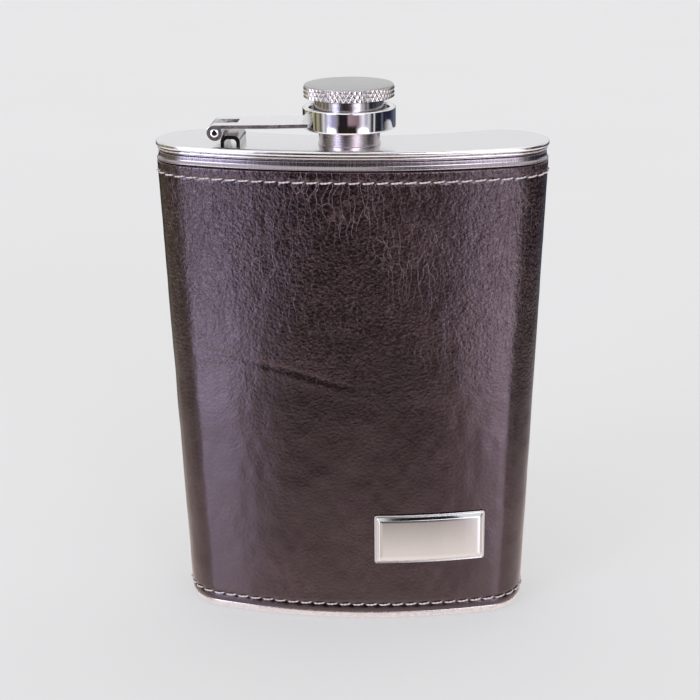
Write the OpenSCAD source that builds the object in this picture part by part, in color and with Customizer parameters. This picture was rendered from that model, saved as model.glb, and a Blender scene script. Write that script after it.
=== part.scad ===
// Hip flask with a leather wrap and a captive screw cap on a hinged arm.
// Millimetres, +Z up, origin on the floor under the middle of the flask.
// The flask faces -Y: that side bulges, and the back is hollowed to sit on a hip.

/* [Body] */
// Width across the shoulder
shoulder_w = 95; // [92:0.5:98]
// Width across the foot
base_w = 86.2; // [84:0.2:90]
// Height from the floor to the shoulder plate's top face
body_h = 121; // [110:1:130]
// Radius of the bulging front
front_r = 122.4; // [115:0.2:135]
// Radius of the two rounded ends
end_r = 11.2; // [10.6:0.1:11.6]
// Thickness through the middle, from front to hollowed back
middle_t = 20.4; // [19.5:0.1:21.5]
// Thickness of the steel sheet
sheet_t = 0.6; // [0.5:0.05:0.7]

/* [Leather wrap] */
// Thickness of the leather
leather_t = 1.15; // [0.9:0.05:1.2]
// Thickness of the lining board under it
lining_t = 0.4; // [0.3:0.05:0.45]
// Distance from the shoulder's top face down to the leather's top edge
leather_drop = 4.8; // [4.75:0.05:6]
// Height of the leather's bottom edge above the floor
leather_foot = 2.3; // [2.3:0.1:3]
// Distance from each leather edge to its row of stitches
stitch_margin = 2.5; // [2:0.1:4]
// Distance from one stitch to the next
stitch_pitch = 3.3; // [3:0.1:4]
// Length of one stitch
stitch_l = 2.8; // [2:0.1:2.9]
// Radius of the thread
thread_r = 0.28; // [0.2:0.02:0.35]

/* [Plaque] */
// Width of the blank plaque
plaque_w = 27.8; // [20:0.2:30]
// Height of the plaque
plaque_h = 13; // [9:0.2:16]
// Sideways place of its middle
plaque_x = 19.8; // [15:0.1:21]
// Height of its middle above the floor
plaque_z = 22.9; // [18:0.1:60]

/* [Neck and cap] */
// Radius of the pouring bore
bore_r = 5.6; // [5:0.1:5.8]
// Outer radius of the neck below its thread
neck_r = 7.2; // [7.1:0.05:7.4]
// Height of the neck's lip above the shoulder
neck_h = 7.6; // [7.4:0.1:7.8]
// Pitch of the screw thread
thread_pitch = 1.25; // [1:0.05:1.5]
// Turns from closed to free of the neck
cap_turns = 2.5; // [2:0.1:2.5]
// Outer radius of the collar that holds the cap captive
collar_r = 10.95; // [10.9:0.05:11.4]
// Radius of the knurled head
head_r = 10.7; // [10:0.1:11.5]
// Thickness of the knurled head at its rim
head_t = 3.05; // [2.6:0.05:4]

/* [Hinged arm] */
// Width of the arm strap
arm_w = 11.8; // [11:0.2:12.4]
// Distance from the neck's axis to the hinge pin
hinge_reach = 31.2; // [31:0.1:32.5]
// Height of the hinge pin above the shoulder
hinge_h = 3.5; // [3.45:0.05:3.6]
// Radius of the hinge barrel
barrel_r = 1.9; // [1.8:0.02:1.92]
// Radius of the hinge pin
pin_r = 0.75; // [0.6:0.05:0.9]

/* [Hidden] */

$fn = 72;
steel = [0.82, 0.82, 0.83];
chrome = [0.90, 0.90, 0.92];
brown = [0.27, 0.20, 0.19];
thread = [0.80, 0.74, 0.70];

gap = 0.02;          // between two pieces that lie against each other
run = 0.05;          // between two pieces that turn or slide
front_y = -14.06;    // the front face's foremost line, which centres the outline
middle_y = front_y + middle_t / 2 - 0.2;   // neck and arm stand over the middle of the thickness

// ---- the flask's outline: a bulging front, two round ends and a hollowed back, all tangent arcs ----

front_c = front_y + front_r;               // Y of the front arc's centre
back_y = front_y + middle_t;               // Y of the back's hollow
leather_top = body_h - leather_drop;

function half_w(z) = (base_w + (shoulder_w - base_w) * z / body_h) / 2;
function end_x(hw) = hw - end_r;
function end_y(hw) = front_c - sqrt(pow(front_r - end_r, 2) - pow(end_x(hw), 2));
function back_r(hw) = (pow(end_x(hw), 2) + pow(back_y - end_y(hw), 2) - pow(end_r, 2))
                      / (2 * (end_r + end_y(hw) - back_y));
function back_c(hw) = back_y + back_r(hw);
// directions, in degrees, in which the front and back arcs meet the right-hand end
function front_a(hw) = atan2(end_y(hw) - front_c, end_x(hw));
function back_a(hw) = atan2(back_c(hw) - end_y(hw), -end_x(hw));

function arc(cx, cy, r, a0, a1, n) = [for (i = [0 : n - 1]) let (a = a0 + (a1 - a0) * i / n) [cx + r * cos(a), cy + r * sin(a)]];

// the outline at half width hw, drawn in by inset
function outline(hw, inset) =
    let (fa = front_a(hw), ba = back_a(hw), ex = end_x(hw), ey = end_y(hw))
    concat(
        arc(0, front_c, front_r - inset, -180 - fa, fa, 26),
        arc(ex, ey, end_r - inset, fa, ba, 18),
        arc(0, back_c(hw), back_r(hw) + inset, ba - 180, -ba, 18),
        arc(-ex, ey, end_r - inset, 180 - ba, 180 - fa, 18)
    );

ring_n = 26 + 18 + 18 + 18;

// steps of a tall wall at one inset, up or down, so that neighbouring walls taper alike
function wall(z0, z1, inset) = [for (i = [0 : 8]) [z0 + (z1 - z0) * i / 8, inset]];

// A solid whose skin runs through one outline for each [height, inset] in path.
// A looped path makes a tube, and an open one is capped at both its ends.
module ring_solid(path, looped = false) {
    m = len(path);
    polyhedron(
        points = [for (s = path) for (p = outline(half_w(s[0]), s[1])) [p[0], p[1], s[0]]],
        faces = concat(
            [for (i = [0 : m - (looped ? 1 : 2)]) for (j = [0 : ring_n - 1]) each
                let (a = i * ring_n, b = ((i + 1) % m) * ring_n, k = (j + 1) % ring_n)
                [[a + j, b + j, b + k], [a + j, b + k, a + k]]],
            looped ? [] : [[for (j = [0 : ring_n - 1]) j],
                           [for (j = [ring_n - 1 : -1 : 0]) (m - 1) * ring_n + j]]
        )
    );
}

// ---- a place on the outline, s millimetres to the right of the front's middle ----

function front_len(hw, inset) = (front_r - inset) * (90 + front_a(hw)) * PI / 180;
function end_len(hw, inset) = (end_r - inset) * (back_a(hw) - front_a(hw)) * PI / 180;
function back_len(hw, inset) = (back_r(hw) + inset) * (back_a(hw) - 90) * PI / 180;
function half_len(hw, inset) = front_len(hw, inset) + end_len(hw, inset) + back_len(hw, inset);
// gives [x, y, direction in which the outline runs]
function place(hw, inset, s) =
    let (lf = front_len(hw, inset), le = end_len(hw, inset), ex = end_x(hw), ey = end_y(hw),
         rf = front_r - inset, re = end_r - inset, rb = back_r(hw) + inset)
    s <= lf ? let (a = -90 + s / rf * 180 / PI) [rf * cos(a), front_c + rf * sin(a), a + 90]
    : s <= lf + le ? let (a = front_a(hw) + (s - lf) / re * 180 / PI) [ex + re * cos(a), ey + re * sin(a), a + 90]
    : let (a = back_a(hw) - 180 - (s - lf - le) / rb * 180 / PI) [rb * cos(a), back_c(hw) + rb * sin(a), a - 90];

// a row of stitches right round the leather, lying just on its skin
module stitch_row(z) {
    hw = half_w(z);
    proud = -thread_r - gap - 0.03;
    half = half_len(hw, proud);
    n = floor(half / stitch_pitch);
    for (side = [-1, 1]) for (i = [0 : n - 1]) {
        p = place(hw, proud, (i + 0.5) * half / n);
        translate([side * p[0], p[1], z])
            rotate([0, 90, side > 0 ? p[2] : 180 - p[2]])
                cylinder(h = stitch_l, r = thread_r, center = true, $fn = 16);
    }
}

// ---- the neck's own frame: on its axis, at the shoulder plate's top face ----

module on_neck() { translate([0, middle_y, body_h]) children(); }
// a profile in the neck's X-Z plane, drawn out along Y to the stated width
module along_y(width) { translate([0, width / 2, 0]) rotate([90, 0, 0]) linear_extrude(width) children(); }

lift = thread_pitch * cap_turns;           // how far the cap rises before it is free
collar_z0 = 3.9;                           // collar's underside
collar_z1 = 9.05;                          // collar's top edge
floor_t = 0.6;                             // its floor, which the cap's flange rests on
ring_z0 = collar_z1 - 0.63;                // underside of the ring that holds the cap in
collar_in = collar_r - 0.85;
ring_in = collar_r - 1.45;
sleeve_r = 8.15;
sleeve_in = 7.7;
flange_z0 = collar_z0 + floor_t + run;
flange_z1 = ring_z0 - run - lift > flange_z0 + 0.5 ? flange_z0 + 0.6 : flange_z0 + 0.4;
head_z0 = 11.15;
spigot_z0 = 9.1;
crest_r = neck_r - 0.25;                   // crest and root of the neck's thread
root_r = neck_r - 0.75;

// ---- steel body ----

module body_sleeve() {
    skin = leather_t + lining_t + 3 * gap;     // the wrap brings the body flush with the rims
    top = body_h - 2.05;
    foot = 0.82;
    color(steel) ring_solid(concat(
        wall(foot, leather_top + 0.1, skin),
        [[body_h - 4.6, 0.2], [body_h - 4.42, 0],
         [body_h - 2.55, 0.5], [body_h - 2.5, 0.9], [top, 0.9],
         [top, 0.9 + sheet_t], [body_h - 3.1, 1.5 + sheet_t]],
        wall(leather_top, foot, skin + sheet_t)
    ), looped = true);
}

module shoulder_plate() {
    rim = 1.9;
    color(steel) difference() {
        ring_solid([
            [body_h - sheet_t, rim], [body_h - 1.58, rim], [body_h - 1.58, 0.9], [body_h - 1.42, 0.9],
            [body_h - 1.4, 0.4], [body_h - 1.15, 0.07], [body_h - 0.75, 0],
            [body_h - 0.35, 0.09], [body_h - 0.1, 0.35], [body_h, 0.8]
        ]);
        on_neck() cylinder(h = 4, r = root_r + 0.15 + gap, center = true);
    }
}

module shoulder_bead() {
    color(chrome) ring_solid([
        [body_h - 2.03, 0.5], [body_h - 1.93, 0.3], [body_h - 1.7, 0.3], [body_h - 1.6, 0.5],
        [body_h - 1.6, 1.5], [body_h - 2.03, 1.5]
    ], looped = true);
}

module base_plate() {
    inner = leather_t + lining_t + 2 * gap;
    color(steel) ring_solid([
        [0, 2], [0.12, 1.45], [0.45, 0.95], [1, 0.55], [1.6, 0.37], [2.25, 0.33],
        [2.25, inner], [0.8, inner]
    ]);
}

module neck_spout() {
    color(steel) on_neck() difference() {
        union() {
            translate([0, 0, -2.2]) cylinder(h = 2.3, r = root_r + 0.15);
            translate([0, 0, gap]) cylinder(h = 0.45, r = neck_r + 0.2);
            translate([0, 0, gap]) cylinder(h = 3.6, r = neck_r);
            translate([0, 0, 1]) cylinder(h = neck_h - 1.3, r = root_r);
            translate([0, 0, neck_h - 0.3]) cylinder(h = 0.3, r1 = root_r, r2 = root_r - 0.25);
            // the thread's crests, drawn as rings
            for (z = [4 : thread_pitch : neck_h - 1])
                translate([0, 0, z]) rotate_extrude()
                    polygon([[root_r - 0.2, 0], [root_r, 0], [crest_r, 0.4], [crest_r, 0.55], [root_r, 0.95], [root_r - 0.2, 0.95]]);
        }
        translate([0, 0, -3]) cylinder(h = neck_h + 4, r = bore_r);
    }
}

// ---- hinge ----

module hinge_bracket() {
    foot_x = -hinge_reach + 3.6;               // middle of the saddle that is welded to the shoulder
    color(steel) on_neck() translate([0, 0, gap]) {
        along_y(arm_w - 0.6) difference() {
            union() {
                translate([foot_x - 2.3, 0]) square([4.6, 1.4]);
                translate([foot_x - 0.8, 0]) square([1.6, 2.9]);
                translate([foot_x - 0.8, 1.4]) circle(r = 1.5);
                translate([foot_x + 0.8, 1.4]) circle(r = 1.5);
            }
            translate([foot_x - 1.4, -1]) square([2.8, 2.1]);
            translate([foot_x - 0.5, 0]) square([1, 2]);
            translate([foot_x - 0.5, 1.1]) circle(r = 0.9);
            translate([foot_x + 0.5, 1.1]) circle(r = 0.9);
            translate([foot_x - 4, -3]) square([8, 3]);
        }
        along_y(slot_w - 0.4) difference() {
            union() {
                translate([-hinge_reach, hinge_h - gap]) circle(r = barrel_r);
                translate([-hinge_reach, hinge_h - gap - barrel_r]) square([2.2, 0.9]);
            }
            translate([-hinge_reach, hinge_h - gap]) circle(r = pin_r + gap / 2);
        }
    }
}

slot_w = 5.6;                                  // the arm's slot, which the bracket's knuckle stands in

module hinge_pin() {
    color(chrome) on_neck() translate([-hinge_reach, 0, hinge_h]) rotate([90, 0, 0]) {
        cylinder(h = arm_w + 0.3, r = pin_r, center = true, $fn = 48);
        for (side = [-1, 1]) translate([0, 0, side * (arm_w / 2 + 0.2)])
            cylinder(h = 0.3, r = pin_r + 0.2, center = true, $fn = 48);
    }
}

module arm_strap() {
    color(chrome) on_neck() difference() {
        along_y(arm_w) union() {
            translate([-hinge_reach, hinge_h]) circle(r = barrel_r);
            polygon([
                [-hinge_reach, hinge_h + barrel_r], [-hinge_reach, hinge_h + barrel_r - 1],
                [-18, hinge_h + barrel_r - 0.9], [-8, hinge_h + barrel_r - 0.65],
                [-8, hinge_h + barrel_r + 0.35], [-18, hinge_h + barrel_r + 0.1]
            ]);
        }
        along_y(arm_w + 2) translate([-hinge_reach, hinge_h]) circle(r = pin_r + run);
        translate([-hinge_reach - 3, -slot_w / 2, 0]) cube([8, slot_w, 8]);
        cylinder(h = 12, r = collar_r + gap);
    }
}

// ---- collar and cap ----

module collar() {
    color(chrome) on_neck() rotate_extrude() polygon([
        [7.9, collar_z0], [collar_r - 0.35, collar_z0], [collar_r, collar_z0 + 0.35],
        [collar_r, collar_z1 - 0.2], [collar_r - 0.2, collar_z1], [collar_r - 0.4, collar_z1],
        [collar_r - 0.4, ring_z0 - gap], [collar_in, ring_z0 - gap],
        [collar_in, collar_z0 + floor_t], [7.9, collar_z0 + floor_t]
    ]);
}

module collar_ring() {
    color(chrome) on_neck() rotate_extrude() polygon([
        [ring_in, ring_z0], [collar_r - 0.42, ring_z0], [collar_r - 0.42, collar_z1 - 0.05],
        [ring_in + 0.25, collar_z1 - 0.05], [ring_in, collar_z1 - 0.3]
    ]);
}

module seal_disc() {
    color([0.88, 0.87, 0.84]) on_neck() translate([0, 0, neck_h + gap])
        cylinder(h = spigot_z0 - neck_h - 2 * gap, r = sleeve_in - 0.3);
}

module cap_sleeve() {
    color(steel) on_neck() difference() {
        union() {
            translate([0, 0, flange_z0]) cylinder(h = head_z0 - gap - flange_z0, r = sleeve_r);
            translate([0, 0, flange_z0]) cylinder(h = flange_z1 - flange_z0, r = collar_in - 0.2);
        }
        translate([0, 0, 4]) cylinder(h = 8, r = sleeve_in);
    }
    // the thread's crests, drawn as rings and held clear of the neck's
    color(steel) on_neck() for (z = [flange_z0 + 0.35 : thread_pitch : neck_h - 1.2])
        translate([0, 0, z]) rotate_extrude() polygon([
            [sleeve_in + 0.1, 0], [sleeve_in, 0], [sleeve_in - 0.33, 0.25],
            [sleeve_in - 0.33, 0.4], [sleeve_in, 0.65], [sleeve_in + 0.1, 0.65]
        ]);
}

module cap_head() {
    top = head_z0 + head_t;
    color(chrome) on_neck() rotate_extrude() polygon([
        [0, spigot_z0], [sleeve_in - gap, spigot_z0], [sleeve_in - gap, head_z0],
        [head_r - 0.35, head_z0], [head_r, head_z0 + 0.3], [head_r, top - 0.25],
        [head_r - 0.3, top], [head_r * 0.75, top + 0.14], [head_r * 0.4, top + 0.22], [0, top + 0.25]
    ]);
}

// ---- leather wrap and plaque ----

module wrap_lining() {
    color([0.45, 0.38, 0.32]) ring_solid(concat(
        wall(leather_foot + 0.3, leather_top - 0.3, leather_t + gap),
        wall(leather_top - 0.3, leather_foot + 0.3, leather_t + lining_t + gap)
    ), looped = true);
}

module leather_wrap() {
    color(brown) difference() {
        ring_solid(concat(
            [[leather_foot, 0.35]],
            wall(leather_foot + 0.3, leather_top - 0.3, 0),
            [[leather_top, 0.35]],
            wall(leather_top, leather_foot, leather_t)
        ), looped = true);
        // the two ends of the wrap meet down the middle of the back
        translate([-0.15, 0, 0]) cube([0.3, 40, body_h]);
    }
}

module top_stitching() { color(thread) stitch_row(leather_top - stitch_margin - 0.1); }
module bottom_stitching() { color(thread) stitch_row(leather_foot + stitch_margin - 0.3); }

module seam_stitching() {
    z0 = leather_foot + stitch_margin + 4;
    z1 = leather_top - stitch_margin - 4;
    n = floor((z1 - z0) / stitch_pitch);
    color(thread) for (side = [-1, 1]) for (i = [0 : n])
        translate([side * 2.2, back_c(half_w(60)) - sqrt(pow(back_r(half_w(60)) - thread_r - 0.12, 2) - 2.2 * 2.2), z0 + (z1 - z0) * i / n])
            cylinder(h = stitch_l, r = thread_r, center = true, $fn = 16);
}

// a sheet that follows the front's curve, from one distance off the leather to another
module on_front(w, h, off0, off1) {
    intersection() {
        translate([0, front_c, plaque_z - h / 2]) difference() {
            cylinder(h = h, r = front_r + off1, $fn = 360);
            translate([0, 0, -1]) cylinder(h = h + 2, r = front_r + off0, $fn = 360);
        }
        translate([plaque_x - w / 2, front_y - 5, plaque_z - h]) cube([w, 20, 2 * h]);
    }
}

module plaque_pad() { color([0.2, 0.2, 0.2]) on_front(plaque_w - 2, plaque_h - 2, gap, 0.3); }

module plaque() {
    color(chrome) union() {
        on_front(plaque_w, plaque_h, 0.32, 0.7);
        on_front(plaque_w - 2.4, plaque_h - 2.4, 0.5, 1.1);
    }
}

body_sleeve();
shoulder_plate();
shoulder_bead();
base_plate();
neck_spout();
hinge_bracket();
hinge_pin();
wrap_lining();
leather_wrap();
top_stitching();
bottom_stitching();
seam_stitching();
plaque_pad();
plaque();
arm_strap();
collar();
collar_ring();
seal_disc();
cap_sleeve();
cap_head();
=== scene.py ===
"""Hip flask: the looks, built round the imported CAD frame. Metres, +Z up, the flask faces -Y."""

import math

import bmesh
import bpy
import numpy as np
from mathutils import Matrix, Vector


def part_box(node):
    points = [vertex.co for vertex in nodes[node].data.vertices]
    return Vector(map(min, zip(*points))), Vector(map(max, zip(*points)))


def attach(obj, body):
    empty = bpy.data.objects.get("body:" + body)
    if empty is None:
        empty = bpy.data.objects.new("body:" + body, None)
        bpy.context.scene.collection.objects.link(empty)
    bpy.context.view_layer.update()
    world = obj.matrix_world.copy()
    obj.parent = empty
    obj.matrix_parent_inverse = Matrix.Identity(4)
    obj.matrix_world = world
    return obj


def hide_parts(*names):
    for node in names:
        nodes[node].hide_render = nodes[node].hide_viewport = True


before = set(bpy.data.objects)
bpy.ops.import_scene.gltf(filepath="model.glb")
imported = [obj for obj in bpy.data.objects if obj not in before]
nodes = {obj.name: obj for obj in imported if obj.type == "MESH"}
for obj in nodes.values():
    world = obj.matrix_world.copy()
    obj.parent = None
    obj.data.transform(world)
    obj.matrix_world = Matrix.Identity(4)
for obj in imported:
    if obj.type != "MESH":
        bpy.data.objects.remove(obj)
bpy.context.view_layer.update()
MM = 0.001
TAU = 2 * math.pi

# ---- places, read from the frame ----


def middle(node):
    low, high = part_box(node)
    return (low + high) / 2


SHOULDER_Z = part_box("shoulder_plate")[1].z          # top face of the shoulder plate
LEATHER_FOOT, LEATHER_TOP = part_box("leather_wrap")[0].z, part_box("leather_wrap")[1].z
TOP_ROW_Z = (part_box("top_stitching")[0].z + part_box("top_stitching")[1].z) / 2
FOOT_ROW_Z = (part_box("bottom_stitching")[0].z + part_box("bottom_stitching")[1].z) / 2
NECK = middle("collar")
NECK.z = SHOULDER_Z                                  # the neck's axis, at the shoulder
PIN = middle("hinge_pin")
PIN_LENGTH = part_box("hinge_pin")[1].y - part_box("hinge_pin")[0].y
PLAQUE_LOW, PLAQUE_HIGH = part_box("plaque")

# ---- the flask's outline, as the CAD draws it: front arc, two round ends, hollowed back ----

SHOULDER_W, BASE_W = 95.0 * MM, 86.2 * MM
FRONT_R, END_R, MIDDLE_T = 122.4 * MM, 11.2 * MM, 20.4 * MM
FRONT_Y = -14.06 * MM
FRONT_C = FRONT_Y + FRONT_R
BACK_Y = FRONT_Y + MIDDLE_T
LEATHER_T, LINING_T, SHEET_T = 1.15 * MM, 0.4 * MM, 0.6 * MM
STITCH_PITCH, THREAD_R = 3.3 * MM, 0.22 * MM

# columns in half the back, in one end and in the front
COLUMNS_HALF_BACK, COLUMNS_END, COLUMNS_FRONT = 72, 74, 152
COLUMNS = 2 * COLUMNS_HALF_BACK + 2 * COLUMNS_END + COLUMNS_FRONT


def outline(z):
    """The outline at height z: (points, outward normals, lengths from the front's middle).

    It runs from the back's middle past the left end, the front and the right end.
    """
    half = (BASE_W + (SHOULDER_W - BASE_W) * z / SHOULDER_Z) / 2
    ex = half - END_R
    ey = FRONT_C - math.sqrt((FRONT_R - END_R) ** 2 - ex**2)
    back_r = (ex**2 + (BACK_Y - ey) ** 2 - END_R**2) / (2 * (END_R + ey - BACK_Y))
    back_c = BACK_Y + back_r
    front_turn = math.atan2(ey - FRONT_C, ex)
    back_turn = math.atan2(back_c - ey, -ex)
    # centre, radius, first and last angle, columns, and 1 or -1 for bulging or hollow
    arcs = [
        (0, back_c, back_r, -math.pi / 2, -back_turn, COLUMNS_HALF_BACK, -1),
        (-ex, ey, END_R, math.pi - back_turn, math.pi - front_turn, COLUMNS_END, 1),
        (0, FRONT_C, FRONT_R, -math.pi - front_turn, front_turn, COLUMNS_FRONT, 1),
        (ex, ey, END_R, front_turn, back_turn, COLUMNS_END, 1),
        (0, back_c, back_r, back_turn - math.pi, -math.pi / 2, COLUMNS_HALF_BACK, -1),
    ]
    points, normals, lengths, run = [], [], [], 0.0
    for k, (cx, cy, r, first, last, columns, sign) in enumerate(arcs):
        is_last = k == len(arcs) - 1
        a = np.linspace(first, last, columns + 1)[: None if is_last else -1]
        points.append(np.c_[cx + r * np.cos(a), cy + r * np.sin(a)])
        normals.append(sign * np.c_[np.cos(a), np.sin(a)])
        lengths.append(run + r * np.abs(a - first))
        run += r * abs(last - first)
    return np.vstack(points), np.vstack(normals), np.concatenate(lengths) - run / 2


# ---- mesh makers ----


def in_mm(*pairs):
    """Pairs given in millimetres."""
    return [(a * MM, b * MM) for a, b in pairs]


def linked(name, data):
    """A new object in the scene."""
    obj = bpy.data.objects.new(name, data)
    bpy.context.scene.collection.objects.link(obj)
    return obj


def new_object(name, vertices, faces, material, smooth_to=35):
    mesh = bpy.data.meshes.new(name)
    mesh.from_pydata(np.asarray(vertices).tolist(), [], faces)
    mesh.shade_smooth()
    mesh.set_sharp_from_angle(angle=math.radians(smooth_to))
    mesh.materials.append(material)
    return linked(name, mesh)


def grid_faces(rows, columns, loop_rows):
    """Quads over a grid whose rows close on themselves. loop_rows joins the last row to the first."""
    i = np.arange(rows if loop_rows else rows - 1)[:, None]
    j = np.arange(columns)[None, :]
    a, b = i * columns, ((i + 1) % rows) * columns
    k = (j + 1) % columns
    quads = np.stack([a + j, a + k, b + k, b + j], axis=-1).reshape(-1, 4)
    return quads.tolist()


def soften(path, radius, steps=4, looped=True):
    """The path with its corners rounded. Only the ends of an open path stay as they are."""
    pts = [Vector(p) for p in path]
    n, out = len(pts), []
    for i, b in enumerate(pts):
        if not looped and i in (0, n - 1):
            out.append(b)
            continue
        a, c = pts[i - 1], pts[(i + 1) % n]
        cut = min(radius, 0.45 * (a - b).length, 0.45 * (c - b).length)
        p0, p1 = b + (a - b).normalized() * cut, b + (c - b).normalized() * cut
        for s in range(steps + 1):
            t = s / steps
            out.append(p0 * (1 - t) ** 2 + b * 2 * t * (1 - t) + p1 * t**2)
    return [tuple(p) for p in out]


def wall(z0, z1, inset, steps=10):
    """An upright stretch of a path, in even steps."""
    return [(z0 + (z1 - z0) * i / steps, inset) for i in range(steps + 1)]


def ring_solid(name, path, material, looped=True, proud=None, smooth_to=35):
    """A solid whose skin runs through the outline at each (height, inset) of path.

    proud(z, inset, lengths) can lift the skin. An open path is closed with two flat faces.
    The mesh carries a map, named wrap, of length round the flask and height.
    """
    rows, maps = [], []
    for z, inset in path:
        points, normals, lengths = outline(z)
        lift = -inset + (proud(z, inset, lengths) if proud else 0.0)
        lifted = points + normals * (lift[:, None] if np.ndim(lift) else lift)
        rows.append(np.c_[lifted, np.full(len(lifted), z)][:-1])
        maps.append(np.c_[lengths, np.full(len(lengths), z)])
    r, c = len(rows), COLUMNS
    faces = grid_faces(r, c, looped)
    quad_count = len(faces)
    if not looped:
        faces.append(list(range(c - 1, -1, -1)))
        faces.append(list(range((r - 1) * c, r * c)))
    obj = new_object(name, np.vstack(rows), faces, material, smooth_to)
    mesh = obj.data
    maps = np.array(maps)
    bands = r if looped else r - 1
    i = np.repeat(np.arange(bands), c)
    j = np.tile(np.arange(c), bands)
    k = (i + 1) % r
    corners = np.stack([maps[i, j], maps[i, j + 1], maps[k, j + 1], maps[k, j]], axis=1)
    uv = np.zeros((len(mesh.loops), 2))
    uv[: quad_count * 4] = corners.reshape(-1, 2)
    for face in range(quad_count, len(faces)):
        for loop in mesh.polygons[face].loop_indices:
            uv[loop] = mesh.vertices[mesh.loops[loop].vertex_index].co.xy
    mesh.uv_layers.new(name="wrap").data.foreach_set("uv", uv.ravel())
    return obj


def lathe(name, profile, material, at, segments=192, looped=True, relief=None, along="Z", smooth_to=35):
    """The (radius, height) profile turned about an axis through at.

    relief(angles, height, row) changes the radius. An open profile starts and ends on the axis.
    """
    angles = np.arange(segments) * TAU / segments
    inner = profile if looped else profile[1:-1]
    rows = []
    for k, (r, h) in enumerate(inner):
        radius = r + (relief(angles, h, k) if relief else 0 * angles)
        rows.append(np.c_[radius * np.cos(angles), radius * np.sin(angles), np.full(segments, h)])
    vertices = np.vstack(rows)
    faces = grid_faces(len(rows), segments, looped)
    if not looped:
        first, last = len(vertices), len(vertices) + 1
        vertices = np.vstack([vertices, [0, 0, profile[0][1]], [0, 0, profile[-1][1]]])
        top = (len(rows) - 1) * segments
        for j in range(segments):
            k = (j + 1) % segments
            faces.append([first, k, j])
            faces.append([last, top + j, top + k])
    if along == "Y":
        vertices = vertices[:, [0, 2, 1]] * [1, -1, 1]
    return new_object(name, vertices + np.array(at), faces, material, smooth_to)


def eased_copy(node, name, material, edge):
    """A new mesh in the shape of a CAD node, with its sharp edges eased as on pressed metal."""
    flat, corner = math.radians(0.5), math.radians(40)
    bm = bmesh.new()
    bm.from_mesh(nodes[node].data)
    bmesh.ops.remove_doubles(bm, verts=bm.verts, dist=0.002 * MM)
    bmesh.ops.dissolve_limit(bm, angle_limit=flat, verts=bm.verts, edges=bm.edges)
    bmesh.ops.recalc_face_normals(bm, faces=bm.faces)
    sharp = [e for e in bm.edges if len(e.link_faces) == 2 and e.calc_face_angle() > corner]
    bmesh.ops.bevel(
        bm, geom=sharp, offset=edge, segments=3, profile=0.5, affect="EDGES", clamp_overlap=True)
    mesh = bpy.data.meshes.new(name)
    bm.to_mesh(mesh)
    bm.free()
    mesh.materials.clear()
    mesh.materials.append(material)
    mesh.shade_smooth()
    mesh.set_sharp_from_angle(angle=math.radians(32))
    obj = linked(name, mesh)
    obj.modifiers.new("even_shading", "WEIGHTED_NORMAL").keep_sharp = True
    return obj


def place(obj, body, node):
    """Puts a piece on its body, in place of the CAD node, which it hides."""
    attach(obj, body)
    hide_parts(node)


def refinish(node, material):
    """Gives a CAD node that isn't replaced a material of this script's."""
    nodes[node].data.materials.clear()
    nodes[node].data.materials.append(material)


def ripple(x, y, seed):
    """Smooth value noise from -1 to 1, for shapes worked into the leather."""
    xi, yi = np.floor(x).astype(np.int64), np.floor(y).astype(np.int64)
    fx, fy = x - xi, y - yi
    u, v = fx * fx * (3 - 2 * fx), fy * fy * (3 - 2 * fy)

    def corner(i, j):
        h = (i * 374761393 + j * 668265263 + seed * 974634777) & 0x7FFFFFFF
        h = ((h ^ (h >> 13)) * 1274126177) & 0x7FFFFFFF
        return ((h ^ (h >> 16)) & 0xFFFF) / 32767.5 - 1

    low = corner(xi, yi) * (1 - u) + corner(xi + 1, yi) * u
    high = corner(xi, yi + 1) * (1 - u) + corner(xi + 1, yi + 1) * u
    return low * (1 - v) + high * v


# ---- materials ----


class Nodes:
    """A short way to write a node tree."""

    def __init__(self, tree):
        self.tree = tree

    def node(self, kind, inputs=None, **settings):
        n = self.tree.nodes.new(kind)
        for k, v in settings.items():
            setattr(n, k, v)
        for k, v in (inputs or {}).items():
            self.feed(n.inputs[k], v)
        return n

    def feed(self, socket, value):
        if isinstance(value, bpy.types.NodeSocket):
            self.tree.links.new(value, socket)
        else:
            socket.default_value = value

    def noise(self, vector, scale, detail=3.0, rough=0.5):
        inputs = {"Vector": vector, "Scale": scale, "Detail": detail, "Roughness": rough}
        return self.node("ShaderNodeTexNoise", inputs).outputs["Fac"]

    def cells(self, vector, scale, feature):
        """Distance to the nearest cell's point (F1), or to the edge between cells."""
        inputs = {"Vector": vector, "Scale": scale}
        return self.node("ShaderNodeTexVoronoi", inputs, feature=feature).outputs["Distance"]

    def spread(self, value, low, high, start=0.0, end=1.0, way="LINEAR"):
        """low to high, as value goes from start to end."""
        inputs = {"Value": value, "From Min": start, "From Max": end, "To Min": low, "To Max": high}
        return self.node("ShaderNodeMapRange", inputs, interpolation_type=way).outputs[0]

    def math(self, op, a, b=0.0):
        return self.node("ShaderNodeMath", {0: a, 1: b}, operation=op).outputs[0]

    def plus(self, a, b):
        return self.math("ADD", a, b)

    def minus(self, a, b):
        return self.math("SUBTRACT", a, b)

    def times(self, a, b):
        return self.math("MULTIPLY", a, b)

    def vectors(self, op, a, b):
        """Vector arithmetic, in which SCALE takes a number for b."""
        second = "Scale" if op == "SCALE" else 1
        return self.node("ShaderNodeVectorMath", {0: a, second: b}, operation=op).outputs[0]

    def mixed(self, amount, a, b, way="MIX"):
        """Colour a with colour b over it, by amount."""
        n = self.node("ShaderNodeMix", data_type="RGBA", blend_type=way)
        for index, value in ((0, amount), (6, a), (7, b)):
            self.feed(n.inputs[index], value)
        return n.outputs[2]

    def ramp(self, value, *stops):
        n = self.node("ShaderNodeValToRGB", {"Fac": value})
        while len(n.color_ramp.elements) < len(stops):
            n.color_ramp.elements.new(0.5)
        for e, (at, colour) in zip(n.color_ramp.elements, stops):
            e.position, e.color = at, (*colour, 1)
        return n.outputs["Color"]


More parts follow.
